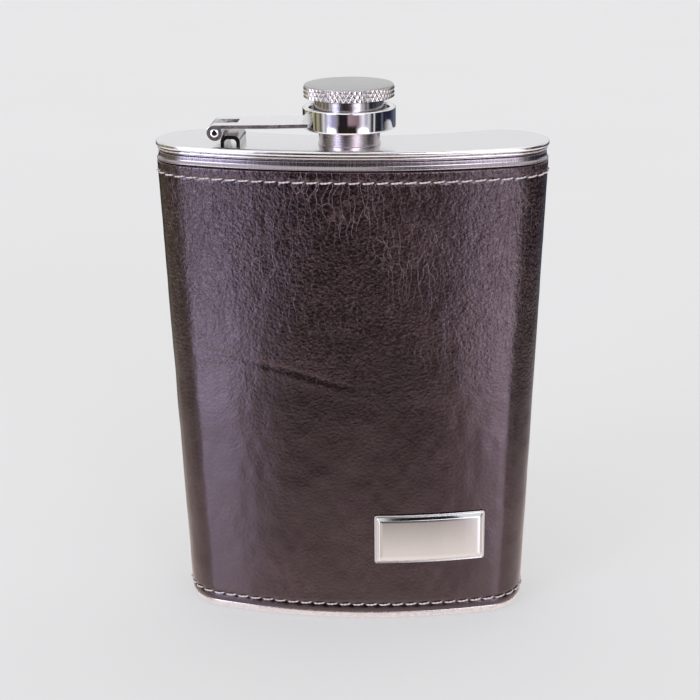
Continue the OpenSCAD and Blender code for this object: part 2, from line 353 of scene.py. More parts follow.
class Paint(Nodes):
    """A short way to write a procedural material."""

    def __init__(self, name):
        self.material = bpy.data.materials.new(name)
        self.material.use_nodes = True
        super().__init__(self.material.node_tree)
        self.shader = self.tree.nodes["Principled BSDF"]

    def set(self, **values):
        for k, v in values.items():
            self.feed(self.shader.inputs[k.replace("_", " ")], v)

    def stretched(self, vector, scale):
        return self.node("ShaderNodeMapping", {"Vector": vector, "Scale": scale}).outputs[0]

    def wrap(self, scale=(1, 1, 1)):
        """Length round the flask and height, times scale."""
        return self.stretched(self.node("ShaderNodeUVMap", uv_map="wrap").outputs[0], scale)

    def spot(self, scale=(1, 1, 1)):
        """Place on the piece, times scale."""
        return self.stretched(self.node("ShaderNodeTexCoord").outputs["Object"], scale)

    def bump(self, height, distance, strength=1.0, under=None):
        n = self.node("ShaderNodeBump", {"Height": height, "Distance": distance, "Strength": strength})
        if under is not None:
            self.feed(n.inputs["Normal"], under)
        return n.outputs["Normal"]


def leather_material():
    """Dark brown hide, with a pebbled grain that is crisp at the top and worn towards the foot."""
    p = Paint("leather")
    flat = p.wrap()
    height = p.node("ShaderNodeSeparateXYZ", {"Vector": flat}).outputs["Y"]

    def stirred(scale, amount):
        """The place on the leather, pushed about so that no pattern runs straight."""
        inputs = {"Vector": flat, "Scale": scale, "Detail": 2.0}
        push = p.node("ShaderNodeTexNoise", inputs).outputs["Color"]
        return p.vectors("ADD", flat, p.vectors("SCALE", push, amount))

    # rounded pebbles about 0.8 mm across, with wrinkles and specks over them
    dome = p.spread(p.cells(stirred(900.0, 0.0005), 1300.0, "F1"), 1.0, 0.0, 0.0, 0.75)
    fine = stirred(700.0, 0.0006)
    wrinkle = p.spread(p.noise(fine, 1050.0, 3.0, 0.6), 0.0, 1.0, 0.3, 0.7)
    speck = p.spread(p.noise(fine, 1700.0, 2.0), 0.0, 1.0, 0.38, 0.62)

    # creases that run down from the stitches, in patches, strongest towards the top; they are painted paler,
    # partly as the creases' own colour and partly as a painted highlight of the glints on their ridges
    tall = p.stretched(stirred(170.0, 0.0036), (1, 0.17, 1))
    beside = p.spread(p.cells(tall, 560.0, "DISTANCE_TO_EDGE"), 0.0, 1.0, 0.0, 0.04)
    near_top = p.spread(height, 0.0, 1.0, 0.05, 0.105)
    pulled = p.times(near_top, p.spread(p.noise(flat, 60.0, 2.0), 0.0, 1.0, 0.36, 0.62))
    line = p.times(p.minus(1.0, beside), pulled)

    # the grain is pressed flatter in soft patches, and is worn flatter towards the foot
    fresh = p.spread(height, 0.22, 1.0, 0.035, 0.108, "SMOOTHSTEP")
    patches = p.times(p.spread(p.noise(flat, 70.0, 3.0), 0.6, 1.2, 0.3, 0.7), fresh)
    grain = p.plus(p.plus(p.times(dome, 0.9), wrinkle), p.times(speck, 0.35))
    normal = p.bump(p.times(grain, patches), 0.045 * MM)
    normal = p.bump(p.minus(1.0, line), 0.035 * MM, under=normal)

    # the hide's colour: cloudy patches of its own tone, plus specks painted lighter and the ground between
    # them darker, most strongly at the top; partly the grain's own colour, partly painted glints on the
    # raised specks and painted shade between them
    cloud = p.times(p.minus(p.noise(flat, 55.0, 3.0), 0.5), 0.8)
    tone = p.plus(p.plus(0.5, p.times(p.minus(speck, 0.5), fresh)), cloud)
    hide = p.ramp(
        tone, (0.0, (0.0015, 0.0005, 0.0004)), (0.5, (0.006, 0.002, 0.0016)), (1.0, (0.045, 0.026, 0.027)))
    # paler colour for the creases: partly their own colour, partly a painted highlight standing in for
    # glints on their ridges
    crease_colour_and_glint = (0.13, 0.095, 0.085, 1)
    even_rough = p.spread(p.noise(flat, 900.0, 2.0), 0.14, 0.19)
    p.set(Base_Color=p.mixed(p.times(line, 0.38), hide, crease_colour_and_glint), Normal=normal,
          Roughness=p.plus(even_rough, p.times(p.spread(speck, 0.04, 0.0), fresh)),
          Specular_IOR_Level=0.95, Specular_Tint=(1.0, 0.80, 0.88, 1))
    return p.material


def steel_finish(p, marks, colour, worn, rough, smear_scale, depth, strength):
    """Metal whose fine marks darken colour to worn times it. rough is (least, most), before faint smears."""
    dark = tuple(c * worn for c in colour)
    smears = p.spread(p.noise(p.spot(), smear_scale, 3.0), -0.03, 0.03, 0.3, 0.7)
    p.set(Base_Color=p.ramp(marks, (0.3, dark), (0.7, colour)), Metallic=1.0,
          Roughness=p.plus(p.spread(marks, rough[0], rough[1], 0.3, 0.7), smears),
          Normal=p.bump(marks, depth, strength))
    return p.material


def metal_material(name, colour, rough, streaks=None, scratch=0.3, wrap=False, worn=0.9):
    """Steel or chrome. streaks stretches its brushing along one way."""
    p = Paint(name)
    place_on = p.wrap if wrap else p.spot
    brushing = p.noise(place_on(streaks or (1, 1, 1)), 1.0 if streaks else 900.0, 4.0, 0.7)
    return steel_finish(p, brushing, colour, worn, rough, 90.0, 0.012 * MM, scratch)


def turned_material(name, colour, rough):
    """Satin steel with the fine rings that turning leaves, about the cap's axis."""
    rings_per_metre = 9000.0
    p = Paint(name)
    from_neck = p.vectors("SUBTRACT", p.spot(), tuple(NECK))
    parts = p.node("ShaderNodeSeparateXYZ", {"Vector": from_neck}).outputs
    x, y, z = parts["X"], parts["Y"], parts["Z"]
    radius = p.math("SQRT", p.plus(p.times(x, x), p.times(y, y)))
    across = {"X": p.times(radius, rings_per_metre), "Y": p.times(z, rings_per_metre)}
    rings = p.noise(p.node("ShaderNodeCombineXYZ", across).outputs[0], 1.0, 3.0, 0.7)
    return steel_finish(p, rings, colour, 0.88, rough, 160.0, 0.01 * MM, 0.4)


def thread_material():
    """Pale waxed thread."""
    p = Paint("thread")
    fibres = p.noise(p.spot((2500, 2500, 9000)), 1.0, 3.0, 0.7)
    wear = p.noise(p.spot(), 140.0, 2.0)
    tone = p.plus(p.times(fibres, 0.6), p.times(wear, 0.4))
    colour = p.ramp(
        tone, (0.25, (0.40, 0.34, 0.33)), (0.5, (0.66, 0.59, 0.58)), (0.75, (0.88, 0.82, 0.81)))
    p.set(Base_Color=colour, Roughness=p.spread(fibres, 0.55, 0.8),
          Normal=p.bump(fibres, 0.04 * MM, 0.8), Sheen_Weight=0.1)
    return p.material


def soft_material(name, dark, light, scale, rough):
    """A matt hidden material, such as board, foam or seal."""
    p = Paint(name)
    grain = p.noise(p.spot(), scale, 4.0, 0.6)
    p.set(Base_Color=p.ramp(grain, (0.35, dark), (0.65, light)),
          Roughness=p.spread(grain, rough - 0.08, rough + 0.08), Normal=p.bump(grain, 0.03 * MM, 0.6))
    return p.material


leather = leather_material()
band_steel = metal_material(
    "band_steel", (0.42, 0.38, 0.40), (0.16, 0.3), (2900, 120, 1), 0.6, wrap=True, worn=0.66)
plate_steel = metal_material("plate_steel", (0.86, 0.86, 0.87), (0.14, 0.24), (180, 5200, 1), 0.2)
foot_steel = metal_material(
    "foot_steel", (0.72, 0.72, 0.75), (0.2, 0.34), (900, 900, 900), 0.3, worn=0.7)
neck_steel = turned_material("neck_steel", (0.66, 0.63, 0.64), (0.12, 0.22))
chrome = metal_material("chrome", (0.90, 0.90, 0.91), (0.04, 0.09), None, 0.05)
plaque_metal = metal_material(
    "plaque_metal", (0.64, 0.655, 0.655), (0.08, 0.12), (900, 900, 300), 0.02, worn=0.96)
spout_steel = turned_material("spout_steel", (0.60, 0.54, 0.55), (0.24, 0.32))
strap_steel = metal_material("strap_steel", (0.92, 0.92, 0.93), (0.2, 0.28), None, 0.1)
cap_steel = turned_material("cap_steel", (0.52, 0.51, 0.50), (0.24, 0.34))
knurl_steel = metal_material("knurl_steel", (0.60, 0.585, 0.59), (0.1, 0.18), (2500, 2500, 2500), 0.15)
# the hinge saddle's steel is painted dark: a painted shade for the shadow under the arm strap
shaded_hinge_steel = metal_material("shaded_hinge_steel", (0.36, 0.34, 0.33), (0.1, 0.18), None, 0.1)
thread_cotton = thread_material()
lining_board = soft_material("lining_board", (0.16, 0.11, 0.08), (0.30, 0.22, 0.16), 900, 0.8)
pad_foam = soft_material("pad_foam", (0.01, 0.01, 0.01), (0.03, 0.03, 0.03), 1500, 0.85)
seal_plastic = soft_material("seal_plastic", (0.62, 0.61, 0.57), (0.78, 0.77, 0.73), 500, 0.5)

# ---- steel body: its paths are (height, inset from the outline) ----


def below_rim(*pairs):
    """A path given in millimetres, its heights down from the shoulder's top face."""
    return [(SHOULDER_Z - drop * MM, inset * MM) for drop, inset in pairs]


def sleeve():
    """The tube that holds the drink, with the brushed band that shows above the leather."""
    foot = 0.82 * MM
    skin = LEATHER_T + LINING_T + 0.06 * MM
    band = soften(below_rim(
        (4.6, 0.28), (4.55, 0.08), (4.38, 0.0), (4.12, 0.12), (3.8, 0.36), (3.5, 0.47), (2.6, 0.5),
        (2.5, 1.35), (2.05, 1.35), (2.05, 1.6), (3.1, 2.1)), 0.12 * MM, 3, looped=False)
    outside = wall(foot, LEATHER_TOP + 0.08 * MM, skin)
    inside = wall(LEATHER_TOP, foot, skin + SHEET_T)
    return ring_solid("flask_sleeve", outside + band + inside, band_steel)


def shoulder():
    """The top plate with its rolled rim."""
    rim = below_rim(
        (1.58, 1.9), (1.58, 1.35), (1.42, 1.35), (1.4, 0.35), (1.1, 0.03), (0.7, 0.0), (0.3, 0.1),
        (0.06, 0.42), (0, 1.1), (0, 1.6))
    path = soften([(SHOULDER_Z - SHEET_T, 1.9 * MM)] + rim, 0.3 * MM, 4, looped=False)
    return ring_solid("flask_shoulder", path, plate_steel, looped=False)


def bead():
    """The thin bright bead between two dark grooves under the rim."""
    path = soften(below_rim(
        (2.03, 0.6), (1.95, 0.3), (1.68, 0.3), (1.6, 0.6), (1.6, 1.5), (2.03, 1.5)), 0.2 * MM, 4)
    return ring_solid("shoulder_bead_ring", path, chrome)


def foot_plate():
    """The pressed base with its rounded edge."""
    seat = LEATHER_T + LINING_T + 0.04 * MM
    edge = in_mm((0, 2.1), (0.1, 1.45), (0.45, 0.95), (1, 0.55), (1.6, 0.37), (2.25, 0.33))
    path = soften(edge + [(2.25 * MM, seat), (0.8 * MM, seat)], 0.4 * MM, 4, looped=False)
    return ring_solid("flask_foot", path, foot_steel, looped=False)


place(sleeve(), "flask", "body_sleeve")
place(shoulder(), "flask", "shoulder_plate")
place(bead(), "flask", "shoulder_bead")
place(foot_plate(), "flask", "base_plate")

# ---- leather wrap ----

STITCH_COUNT = {"top": 66, "foot": 60}


def hump(distance, width):
    """1 at no distance, falling smoothly away to both sides."""
    return np.exp(-((distance / width) ** 2))


def row_dip(z, lengths, row_z, count):
    """The thread pulls a shallow channel into the leather, deepest at the holes between stitches."""
    total = lengths[-1] - lengths[0]
    phase = (lengths / total * count) % 1.0
    hole = hump(np.minimum(phase, 1 - phase) * total / count, 0.42 * MM)
    return hump(z - row_z, 0.55 * MM) * (0.07 * MM + 0.2 * MM * hole)


def fold_line(lengths):
    """Height of the old crease that slants across the left of the front."""
    t = np.clip((lengths + 38 * MM) / (39 * MM), 0, 1)
    return (70.6 - 1.2 * t - 6.4 * t**1.6) * MM


def leather_skin(z, inset, lengths):
    """How far the leather's skin stands off its even shape."""
    if inset > 0.6 * MM:
        return np.zeros_like(lengths)

    def waves(width, height, seed):
        return ripple(lengths / (width * MM), np.full_like(lengths, z / (height * MM)), seed)

    lift = 0.05 * MM * waves(7, 9, 3)
    lift += 0.03 * MM * waves(2.2, 3.6, 5)
    # thin upright grooves, deepest at the top
    top = np.clip((z - 40 * MM) / (70 * MM), 0, 1)
    lift -= top * 0.045 * MM * (1 - np.abs(waves(1.5, 8, 7))) ** 6
    dips = row_dip(z, lengths, TOP_ROW_Z, STITCH_COUNT["top"])
    lift -= dips + row_dip(z, lengths, FOOT_ROW_Z, STITCH_COUNT["foot"])
    # the crease, a soft valley with a low ridge under it, fading out at both ends
    fade = np.clip((lengths + 41 * MM) / (6 * MM), 0, 1) * np.clip((3 * MM - lengths) / (9 * MM), 0, 1)
    off = z - fold_line(lengths) - 0.35 * MM * ripple(lengths / (5 * MM), 0 * lengths, 11)
    valley, ridge = hump(off, 0.8 * MM), hump(off + 1.5 * MM, 1.2 * MM)
    lift += fade * (-0.06 * MM * valley + 0.03 * MM * ridge)
    # the two ends of the wrap turn in where they meet at the back
    edge = np.minimum(lengths - lengths[0], lengths[-1] - lengths)
    return lift - 0.45 * MM * hump(edge, 0.5 * MM)


def leather_rows():
    """Heights of the leather's outer rows: close together at the stitches and the crease."""
    rows, z = [], LEATHER_FOOT + 0.3 * MM
    while z < LEATHER_TOP - 0.3 * MM:
        rows.append((z, 0.0))
        close = min(abs(z - TOP_ROW_Z), abs(z - FOOT_ROW_Z))
        crease = 60 * MM < z < 73 * MM
        z += 0.25 * MM if close < 1.3 * MM else 0.5 * MM if crease else 0.62 * MM
    return rows


def leather_cover():
    """The whole wrap, a thick sheet with rounded cut edges at top and foot."""
    cut = in_mm((0, 0.5), (0.03, 0.28), (0.12, 0.1))
    foot = [(LEATHER_FOOT + rise, inset) for rise, inset in cut]
    top = [(LEATHER_TOP - 0.3 * MM, 0.0)] + [(LEATHER_TOP - drop, inset) for drop, inset in reversed(cut)]
    path = foot + leather_rows() + top + wall(LEATHER_TOP, LEATHER_FOOT, LEATHER_T, 6)
    return ring_solid("leather_cover", path, leather, proud=leather_skin, smooth_to=60)


place(leather_cover(), "flask", "leather_wrap")

# ---- stitches: two twisted plies that dive into the leather at both ends ----


def stitch_mesh(starts):
    """One mesh of stitches. Each start gives (middle, along, outward, length)."""
    along_steps, ring, twists = 14, 8, 1.6
    vertices, faces = [], []
    t = np.linspace(0, 1, along_steps + 1)
    rise = THREAD_R * (2.6 * np.sin(np.pi * t) ** 0.5 - 1.9)
    slant = 0.14 * MM * (t - 0.5) * 2
    for middle_at, along, outward, length in starts:
        across = np.cross(outward, along)
        centre = middle_at + np.outer((t - 0.5) * length, along)
        centre = centre + np.outer(rise, outward) + np.outer(slant, across)
        for ply in (0, 1):
            turn = TAU * (twists * t + ply / 2)
            swing = np.outer(np.cos(turn), outward) + np.outer(np.sin(turn), across)
            ply_centre = centre + 0.48 * THREAD_R * swing
            base = len(vertices)
            for k in range(along_steps + 1):
                taper = 0.62 * THREAD_R * (0.75 + 0.25 * math.sin(math.pi * t[k]))
                for m in range(ring):
                    a = TAU * m / ring
                    vertices.append(ply_centre[k] + taper * (math.cos(a) * outward + math.sin(a) * across))
            for k in range(along_steps):
                here, there = base + k * ring, base + (k + 1) * ring
                for m in range(ring):
                    n = (m + 1) % ring
                    faces.append([here + m, there + m, there + n, here + n])
            faces.append([base + m for m in range(ring)])
            faces.append([base + along_steps * ring + m for m in range(ring - 1, -1, -1)])
    return vertices, faces


def row_starts(z, count):
    """Stitches in a row round the flask."""
    points, normals, lengths = outline(z)
    total = lengths[-1] - lengths[0]
    starts = []
    for i in range(count):
        s = lengths[0] + (i + 0.5) * total / count
        at = np.array([np.interp(s, lengths, points[:, 0]), np.interp(s, lengths, points[:, 1]), z])
        out = np.array([np.interp(s, lengths, normals[:, 0]), np.interp(s, lengths, normals[:, 1]), 0.0])
        out /= np.linalg.norm(out)
        along = np.array([-out[1], out[0], 0.0])
        starts.append((at + out * 0.1 * MM, along, out, total / count - 0.5 * MM))
    return starts


def seam_starts():
    """Stitches up both sides of the seam at the back."""
    low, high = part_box("seam_stitching")
    count = round((high.z - low.z) / STITCH_PITCH)
    y = (low.y + high.y) / 2 - THREAD_R
    up, out = np.array([0, 0, 1.0]), np.array([0, 1.0, 0])
    starts = []
    for x in (low.x + THREAD_R, high.x - THREAD_R):
        for i in range(count):
            z = low.z + (i + 0.5) * (high.z - low.z) / count
            starts.append((np.array([x, y, z]), up, out, STITCH_PITCH - 0.4 * MM))
    return starts


def stitches(name, starts, node):
    """A piece of stitches, in place of the CAD's."""
    place(new_object(name, *stitch_mesh(starts), thread_cotton, 60), "flask", node)


stitches("top_stitches", row_starts(TOP_ROW_Z, STITCH_COUNT["top"]), "top_stitching")
stitches("foot_stitches", row_starts(FOOT_ROW_Z, STITCH_COUNT["foot"]), "bottom_stitching")
stitches("seam_stitches", seam_starts(), "seam_stitching")
refinish("wrap_lining", lining_board)

# ---- plaque: a pressed plate that follows the front, with a turned edge and bevelled sides ----

ARC_STEPS, LONG_STEPS, SHORT_STEPS = 6, 40, 14       # steps in a corner, along the top and up a side


def plaque_loop(half_w, half_h, r):
    """A rounded rectangle, from its lower right corner up the right side and round."""
    x, z = half_w - r, half_h - r
    # each corner's centre and first angle, then the end and the steps of the side that follows it
    corners = (
        (x, -z, -90, (half_w, z), SHORT_STEPS),
        (x, z, 0, (-x, half_h), LONG_STEPS),
        (-x, z, 90, (-half_w, -z), SHORT_STEPS),
        (-x, -z, 180, (x, -half_h), LONG_STEPS),
    )
    loop = []
    for cx, cz, first, (x1, z1), steps in corners:
        for k in range(ARC_STEPS + 1):
            a = math.radians(first + 90 * k / ARC_STEPS)
            loop.append((cx + r * math.cos(a), cz + r * math.sin(a)))
        x0, z0 = loop[-1]
        for k in range(1, steps):
            loop.append((x0 + (x1 - x0) * k / steps, z0 + (z1 - z0) * k / steps))
    return loop


def plaque():
    width, height = PLAQUE_HIGH.x - PLAQUE_LOW.x, PLAQUE_HIGH.z - PLAQUE_LOW.z
    cx, cz = (PLAQUE_LOW.x + PLAQUE_HIGH.x) / 2, (PLAQUE_LOW.z + PLAQUE_HIGH.z) / 2
    # (inset from the edge, height off the leather) from the back, round the edge and over the bevel
    path = soften(in_mm(
        (0.4, 0.32), (0, 0.34), (0, 0.52), (0.15, 0.52), (0.2, 0.38), (0.5, 0.38), (0.56, 0.64),
        (1.3, 1.07), (2.0, 1.1)), 0.06 * MM, 3, looped=False)
    vertices = []
    for inset, off in path:
        corner = max(0.6 * MM - inset * 0.4, 0.1 * MM)
        out = FRONT_R + off
        for x, z in plaque_loop(width / 2 - inset, height / 2 - inset, corner):
            a = (cx + x) / FRONT_R
            vertices.append((out * math.sin(a), FRONT_C - out * math.cos(a), cz + z))
    n = len(vertices) // len(path)
    faces = grid_faces(len(path), n, False)
    # the face and the back are filled in upright strips, so that both follow the curve
    top_right = 2 * ARC_STEPS + SHORT_STEPS
    top_left = top_right + LONG_STEPS
    foot_left = top_left + 2 * ARC_STEPS + SHORT_STEPS
    strips = []
    for k in range(LONG_STEPS):
        foot = foot_left + LONG_STEPS - k
        strips.append([top_right + k, top_right + k + 1, foot - 1, foot % n])
    strips.append(list(range(top_left, foot_left + 1)))
    strips.append(list(range(top_right + 1)))
    face_row = (len(path) - 1) * n
    faces += [[face_row + k for k in strip] for strip in strips]
    faces += [strip[::-1] for strip in strips]
    return new_object("front_plaque", vertices, faces, plaque_metal, 50)


place(plaque(), "flask", "plaque")
refinish("plaque_pad", pad_foam)

# ---- neck: profiles of the neck, collar, seal and cap are (radius, height above the shoulder) ----

BORE_R, NECK_R = 5.6 * MM, 7.2 * MM
ROOT_R, CREST_R = 6.45 * MM, 6.95 * MM
THREAD_PITCH = 1.25 * MM
NECK_TOP = 7.6 * MM
CLEAR = 0.02 * MM                                    # between pieces that would share a face


def screw(angles, h, low, high, depth):
    """Height of a single-start thread's ridge over its root, fading out at both ends."""
    fade_length = 0.5 * MM
    phase = ((h - low) / THREAD_PITCH - angles / TAU) % 1.0
    ridge = np.clip(1.25 - np.abs(phase - 0.5) * 3.2, 0, 1)
    fade = min(1.0, max(0.0, (h - low) / fade_length), max(0.0, (high - h) / fade_length))
    return depth * ridge * fade


def neck():
    """The pouring tube, with its small flange, its thread and a rounded lip."""
    flange_r, plug_r, foot = NECK_R + 0.2 * MM, ROOT_R + 0.15 * MM, -2.2 * MM
    outside = soften([
        (flange_r, CLEAR), (flange_r, 0.42 * MM), (NECK_R, 0.5 * MM), (NECK_R, 3.62 * MM),
        (ROOT_R, 3.75 * MM)], 0.12 * MM, 3, looped=False)
    threaded = [(ROOT_R, 3.8 * MM + k * 0.075 * MM) for k in range(47)]
    lip = soften([
        (ROOT_R, NECK_TOP - 0.25 * MM), (ROOT_R - 0.2 * MM, NECK_TOP), (BORE_R + 0.1 * MM, NECK_TOP),
        (BORE_R, NECK_TOP - 0.15 * MM), (BORE_R, foot), (plug_r, foot), (plug_r, CLEAR)],
        0.1 * MM, 3, looped=False)
    first, last = len(outside), len(outside) + len(threaded)

    def relief(angles, h, row):
        return screw(angles, h, 3.9 * MM, 7.2 * MM, CREST_R - ROOT_R) if first <= row < last else 0 * angles

    profile = outside + threaded + lip
    return lathe("neck_tube", profile, spout_steel, NECK, relief=relief, smooth_to=50)


place(neck(), "flask", "neck_spout")

# ---- hinge ----


def rivet():
    """The pin, with a low head pressed on each end."""
    end = PIN_LENGTH / 2
    # (radius, distance in from the pin's end)
    head = in_mm((0, 0), (0.6, 0.02), (0.93, 0.12), (0.95, 0.28), (0.75, 0.3))
    low = [(r, drop - end) for r, drop in head]
    high = [(r, end - drop) for r, drop in reversed(head)]
    profile = soften(low + high, 0.06 * MM, 3, looped=False)
    return lathe("hinge_rivet", profile, chrome, PIN, 48, looped=False, along="Y")


saddle = eased_copy("hinge_bracket", "hinge_saddle", shaded_hinge_steel, 0.12 * MM)
place(saddle, "flask", "hinge_bracket")
strap = eased_copy("arm_strap", "arm_plate", strap_steel, 0.1 * MM)
place(strap, "arm", "arm_strap")
place(rivet(), "flask", "hinge_pin")

# ---- collar ----

COLLAR_R, COLLAR_LOW, COLLAR_HIGH = 10.95 * MM, 3.9 * MM, 9.05 * MM
RING_LOW = COLLAR_HIGH - 0.63 * MM


def collar_cup():
    """The open cup on the arm's end, with a step inside its mouth for the keeper."""
    hole_r, inner_r, mouth_r = 7.9 * MM, COLLAR_R - 0.85 * MM, COLLAR_R - 0.4 * MM
    floor_top, step = COLLAR_LOW + 0.6 * MM, RING_LOW - CLEAR
    profile = soften([
        (hole_r, COLLAR_LOW), (COLLAR_R - 0.5 * MM, COLLAR_LOW),
        (COLLAR_R - 0.08 * MM, COLLAR_LOW + 0.22 * MM), (COLLAR_R, COLLAR_LOW + 0.5 * MM),
        (COLLAR_R, COLLAR_HIGH - 0.25 * MM),
        (COLLAR_R - 0.2 * MM, COLLAR_HIGH), (mouth_r, COLLAR_HIGH - 0.03 * MM), (mouth_r, step),
        (inner_r, step), (inner_r, floor_top), (hole_r, floor_top)], 0.16 * MM, 4)
    return lathe("collar_cup", profile, chrome, NECK)


def collar_keeper():
    """The ring in the collar's mouth that keeps the cap captive."""
    inner_r, outer_r, top = COLLAR_R - 1.45 * MM, COLLAR_R - 0.42 * MM, COLLAR_HIGH - 0.04 * MM
    profile = soften([
        (inner_r, RING_LOW), (outer_r, RING_LOW), (outer_r, top), (COLLAR_R - 1.15 * MM, top),
        (inner_r, COLLAR_HIGH - 0.32 * MM)], 0.12 * MM, 4)
    return lathe("collar_keeper", profile, chrome, NECK)


place(collar_cup(), "arm", "collar")
place(collar_keeper(), "arm", "collar_ring")

# ---- seal and cap ----

SLEEVE_R, SLEEVE_IN = 8.15 * MM, 7.7 * MM
SLEEVE_LOW, HEAD_LOW, SPIGOT_LOW = 4.55 * MM, 11.15 * MM, 9.1 * MM
FLANGE_R, FLANGE_T = 9.9 * MM, 0.6 * MM
HEAD_R, HEAD_T = 10.7 * MM, 3.05 * MM
HEAD_HIGH = HEAD_LOW + HEAD_T
KNURLS, KNURL_DEPTH, KNURL_LEAN = 58, 0.34 * MM, 0.6
KNURL_LOW, KNURL_HIGH = HEAD_LOW + 0.22 * MM, HEAD_HIGH - 0.3 * MM


def seal_washer():
    r, low, high = SLEEVE_IN - 0.3 * MM, NECK_TOP + CLEAR, SPIGOT_LOW - CLEAR
    profile = soften([(0, low), (r, low), (r, high), (0, high)], 0.25 * MM, 5, looped=False)
    return lathe("seal_washer", profile, seal_plastic, NECK, 96, looped=False)


def cap_skirt():
    """The cap's sleeve, with a flange for the collar to hold and a thread inside."""
    flange_top, top = SLEEVE_LOW + FLANGE_T, HEAD_LOW - CLEAR
    outside = soften([
        (SLEEVE_IN, SLEEVE_LOW), (FLANGE_R, SLEEVE_LOW), (FLANGE_R, flange_top), (SLEEVE_R, flange_top),
        (SLEEVE_R, top), (SLEEVE_IN, top)], 0.12 * MM, 3, looped=False)
    threaded = [(SLEEVE_IN, 7.4 * MM - k * 0.08 * MM) for k in range(34)]
    first = len(outside)

    def relief(angles, h, row):
        return -screw(angles, h, 4.8 * MM, 7.3 * MM, 0.33 * MM) if row >= first else 0 * angles

    return lathe("cap_skirt", outside + threaded, neck_steel, NECK, relief=relief, smooth_to=50)


def knurl(angles, h):
    """Diamonds left by two crossing sets of grooves."""
    step = (h - KNURL_LOW) * KNURL_LEAN / HEAD_R * KNURLS / TAU
    one = np.abs(((angles * KNURLS / TAU + step) % 1.0) - 0.5) * 2
    two = np.abs(((angles * KNURLS / TAU - step) % 1.0) - 0.5) * 2
    return -KNURL_DEPTH * np.clip((np.maximum(one, two) - 0.1) / 0.85, 0, 1)


def cap_knob():
    """The cap's head: a spigot that fits the sleeve, a knurled band and a low crown."""
    spigot_r = SLEEVE_IN - CLEAR
    under = [(0, SPIGOT_LOW), (SLEEVE_IN - 0.1 * MM, SPIGOT_LOW)] + soften([
        (spigot_r, SPIGOT_LOW + 0.1 * MM), (spigot_r, HEAD_LOW), (HEAD_R - 0.45 * MM, HEAD_LOW),
        (HEAD_R - 0.26 * MM, HEAD_LOW + 0.12 * MM)], 0.1 * MM, 3, looped=False)
    band_steps = 26
    band = [(HEAD_R, KNURL_LOW + (KNURL_HIGH - KNURL_LOW) * k / band_steps) for k in range(band_steps + 1)]
    over = soften([
        (HEAD_R - 0.26 * MM, KNURL_HIGH + 0.06 * MM), (HEAD_R - 0.32 * MM, HEAD_HIGH - 0.06 * MM),
        (HEAD_R - 0.7 * MM, HEAD_HIGH + 0.02 * MM), (HEAD_R * 0.8, HEAD_HIGH + 0.12 * MM),
        (HEAD_R * 0.5, HEAD_HIGH + 0.2 * MM), (HEAD_R * 0.2, HEAD_HIGH + 0.245 * MM),
        (0, HEAD_HIGH + 0.25 * MM)], 0.3 * MM, 4, looped=False)
    # the lathe's rows leave out the profile's first point, which lies on the axis
    first, last = len(under) - 1, len(under) - 1 + len(band)

    def relief(angles, h, row):
        return knurl(angles, h) if first <= row < last else 0 * angles

    profile, segments = under + band + over, 12 * KNURLS
    head = lathe("cap_knob", profile, cap_steel, NECK, segments, looped=False, relief=relief, smooth_to=38)
    head.data.materials.append(knurl_steel)
    low, high = SHOULDER_Z + KNURL_LOW - 0.02 * MM, SHOULDER_Z + KNURL_HIGH + 0.02 * MM
    for face in head.data.polygons:
        if low <= face.center.z <= high and len(face.vertices) == 4:
            face.material_index = 1
    return head


place(seal_washer(), "seal", "seal_disc")
place(cap_skirt(), "cap", "cap_sleeve")
place(cap_knob(), "cap", "cap_head")

# ---- floor, camera and light ----


def floor_material():
    """Pale paper. Part of its brightness is its own, which keeps the flask's shadow faint."""
    p = Paint("floor")
    dull, bright = (0.395, 0.395, 0.395), (0.405, 0.405, 0.405)
    p.set(Base_Color=p.ramp(p.noise(p.spot(), 6.0, 3.0), (0.3, dull), (0.7, bright)), Roughness=0.9,
          Specular_IOR_Level=0.2, Emission_Color=(0.39, 0.39, 0.39, 1), Emission_Strength=1.0)
    return p.material


def floor():
    half = 6.0
    corners = [(-half, -half, 0), (half, -half, 0), (half, half, 0), (-half, half, 0)]
    mesh = bpy.data.meshes.new("floor_sheet")
    mesh.from_pydata(corners, [], [[0, 1, 2, 3]])
    mesh.materials.append(floor_material())
    obj = linked("floor_sheet", mesh)
    obj.visible_glossy = False                       # metal mirrors the studio's table instead


AIM = Vector((0, 3.38 * MM, 61.3 * MM))
CAMERA_DISTANCE = 0.4005
CAMERA_PITCH, CAMERA_YAW, CAMERA_ROLL = (math.radians(v) for v in (19.30, -3.79, -0.595))


def add_camera():
    lens = bpy.data.cameras.new("camera")
    lens.sensor_width, lens.lens = 36.0, 81.26
    lens.shift_x, lens.shift_y = -0.0056, 0.0305
    lens.clip_start, lens.clip_end = 0.01, 50
    level_part = math.cos(CAMERA_PITCH)
    ahead = Vector((
        math.sin(CAMERA_YAW) * level_part, math.cos(CAMERA_YAW) * level_part, -math.sin(CAMERA_PITCH)))
    level = Vector((math.cos(CAMERA_YAW), -math.sin(CAMERA_YAW), 0))
    upward = level.cross(ahead)
    right = level * math.cos(CAMERA_ROLL) + upward * math.sin(CAMERA_ROLL)
    up = upward * math.cos(CAMERA_ROLL) - level * math.sin(CAMERA_ROLL)
    facing = Matrix((right, up, -ahead)).transposed().to_4x4()
    camera = bpy.data.objects.new("camera", lens)
    camera.matrix_world = Matrix.Translation(AIM - ahead * CAMERA_DISTANCE) @ facing
    bpy.context.scene.collection.objects.link(camera)
    bpy.context.scene.camera = camera


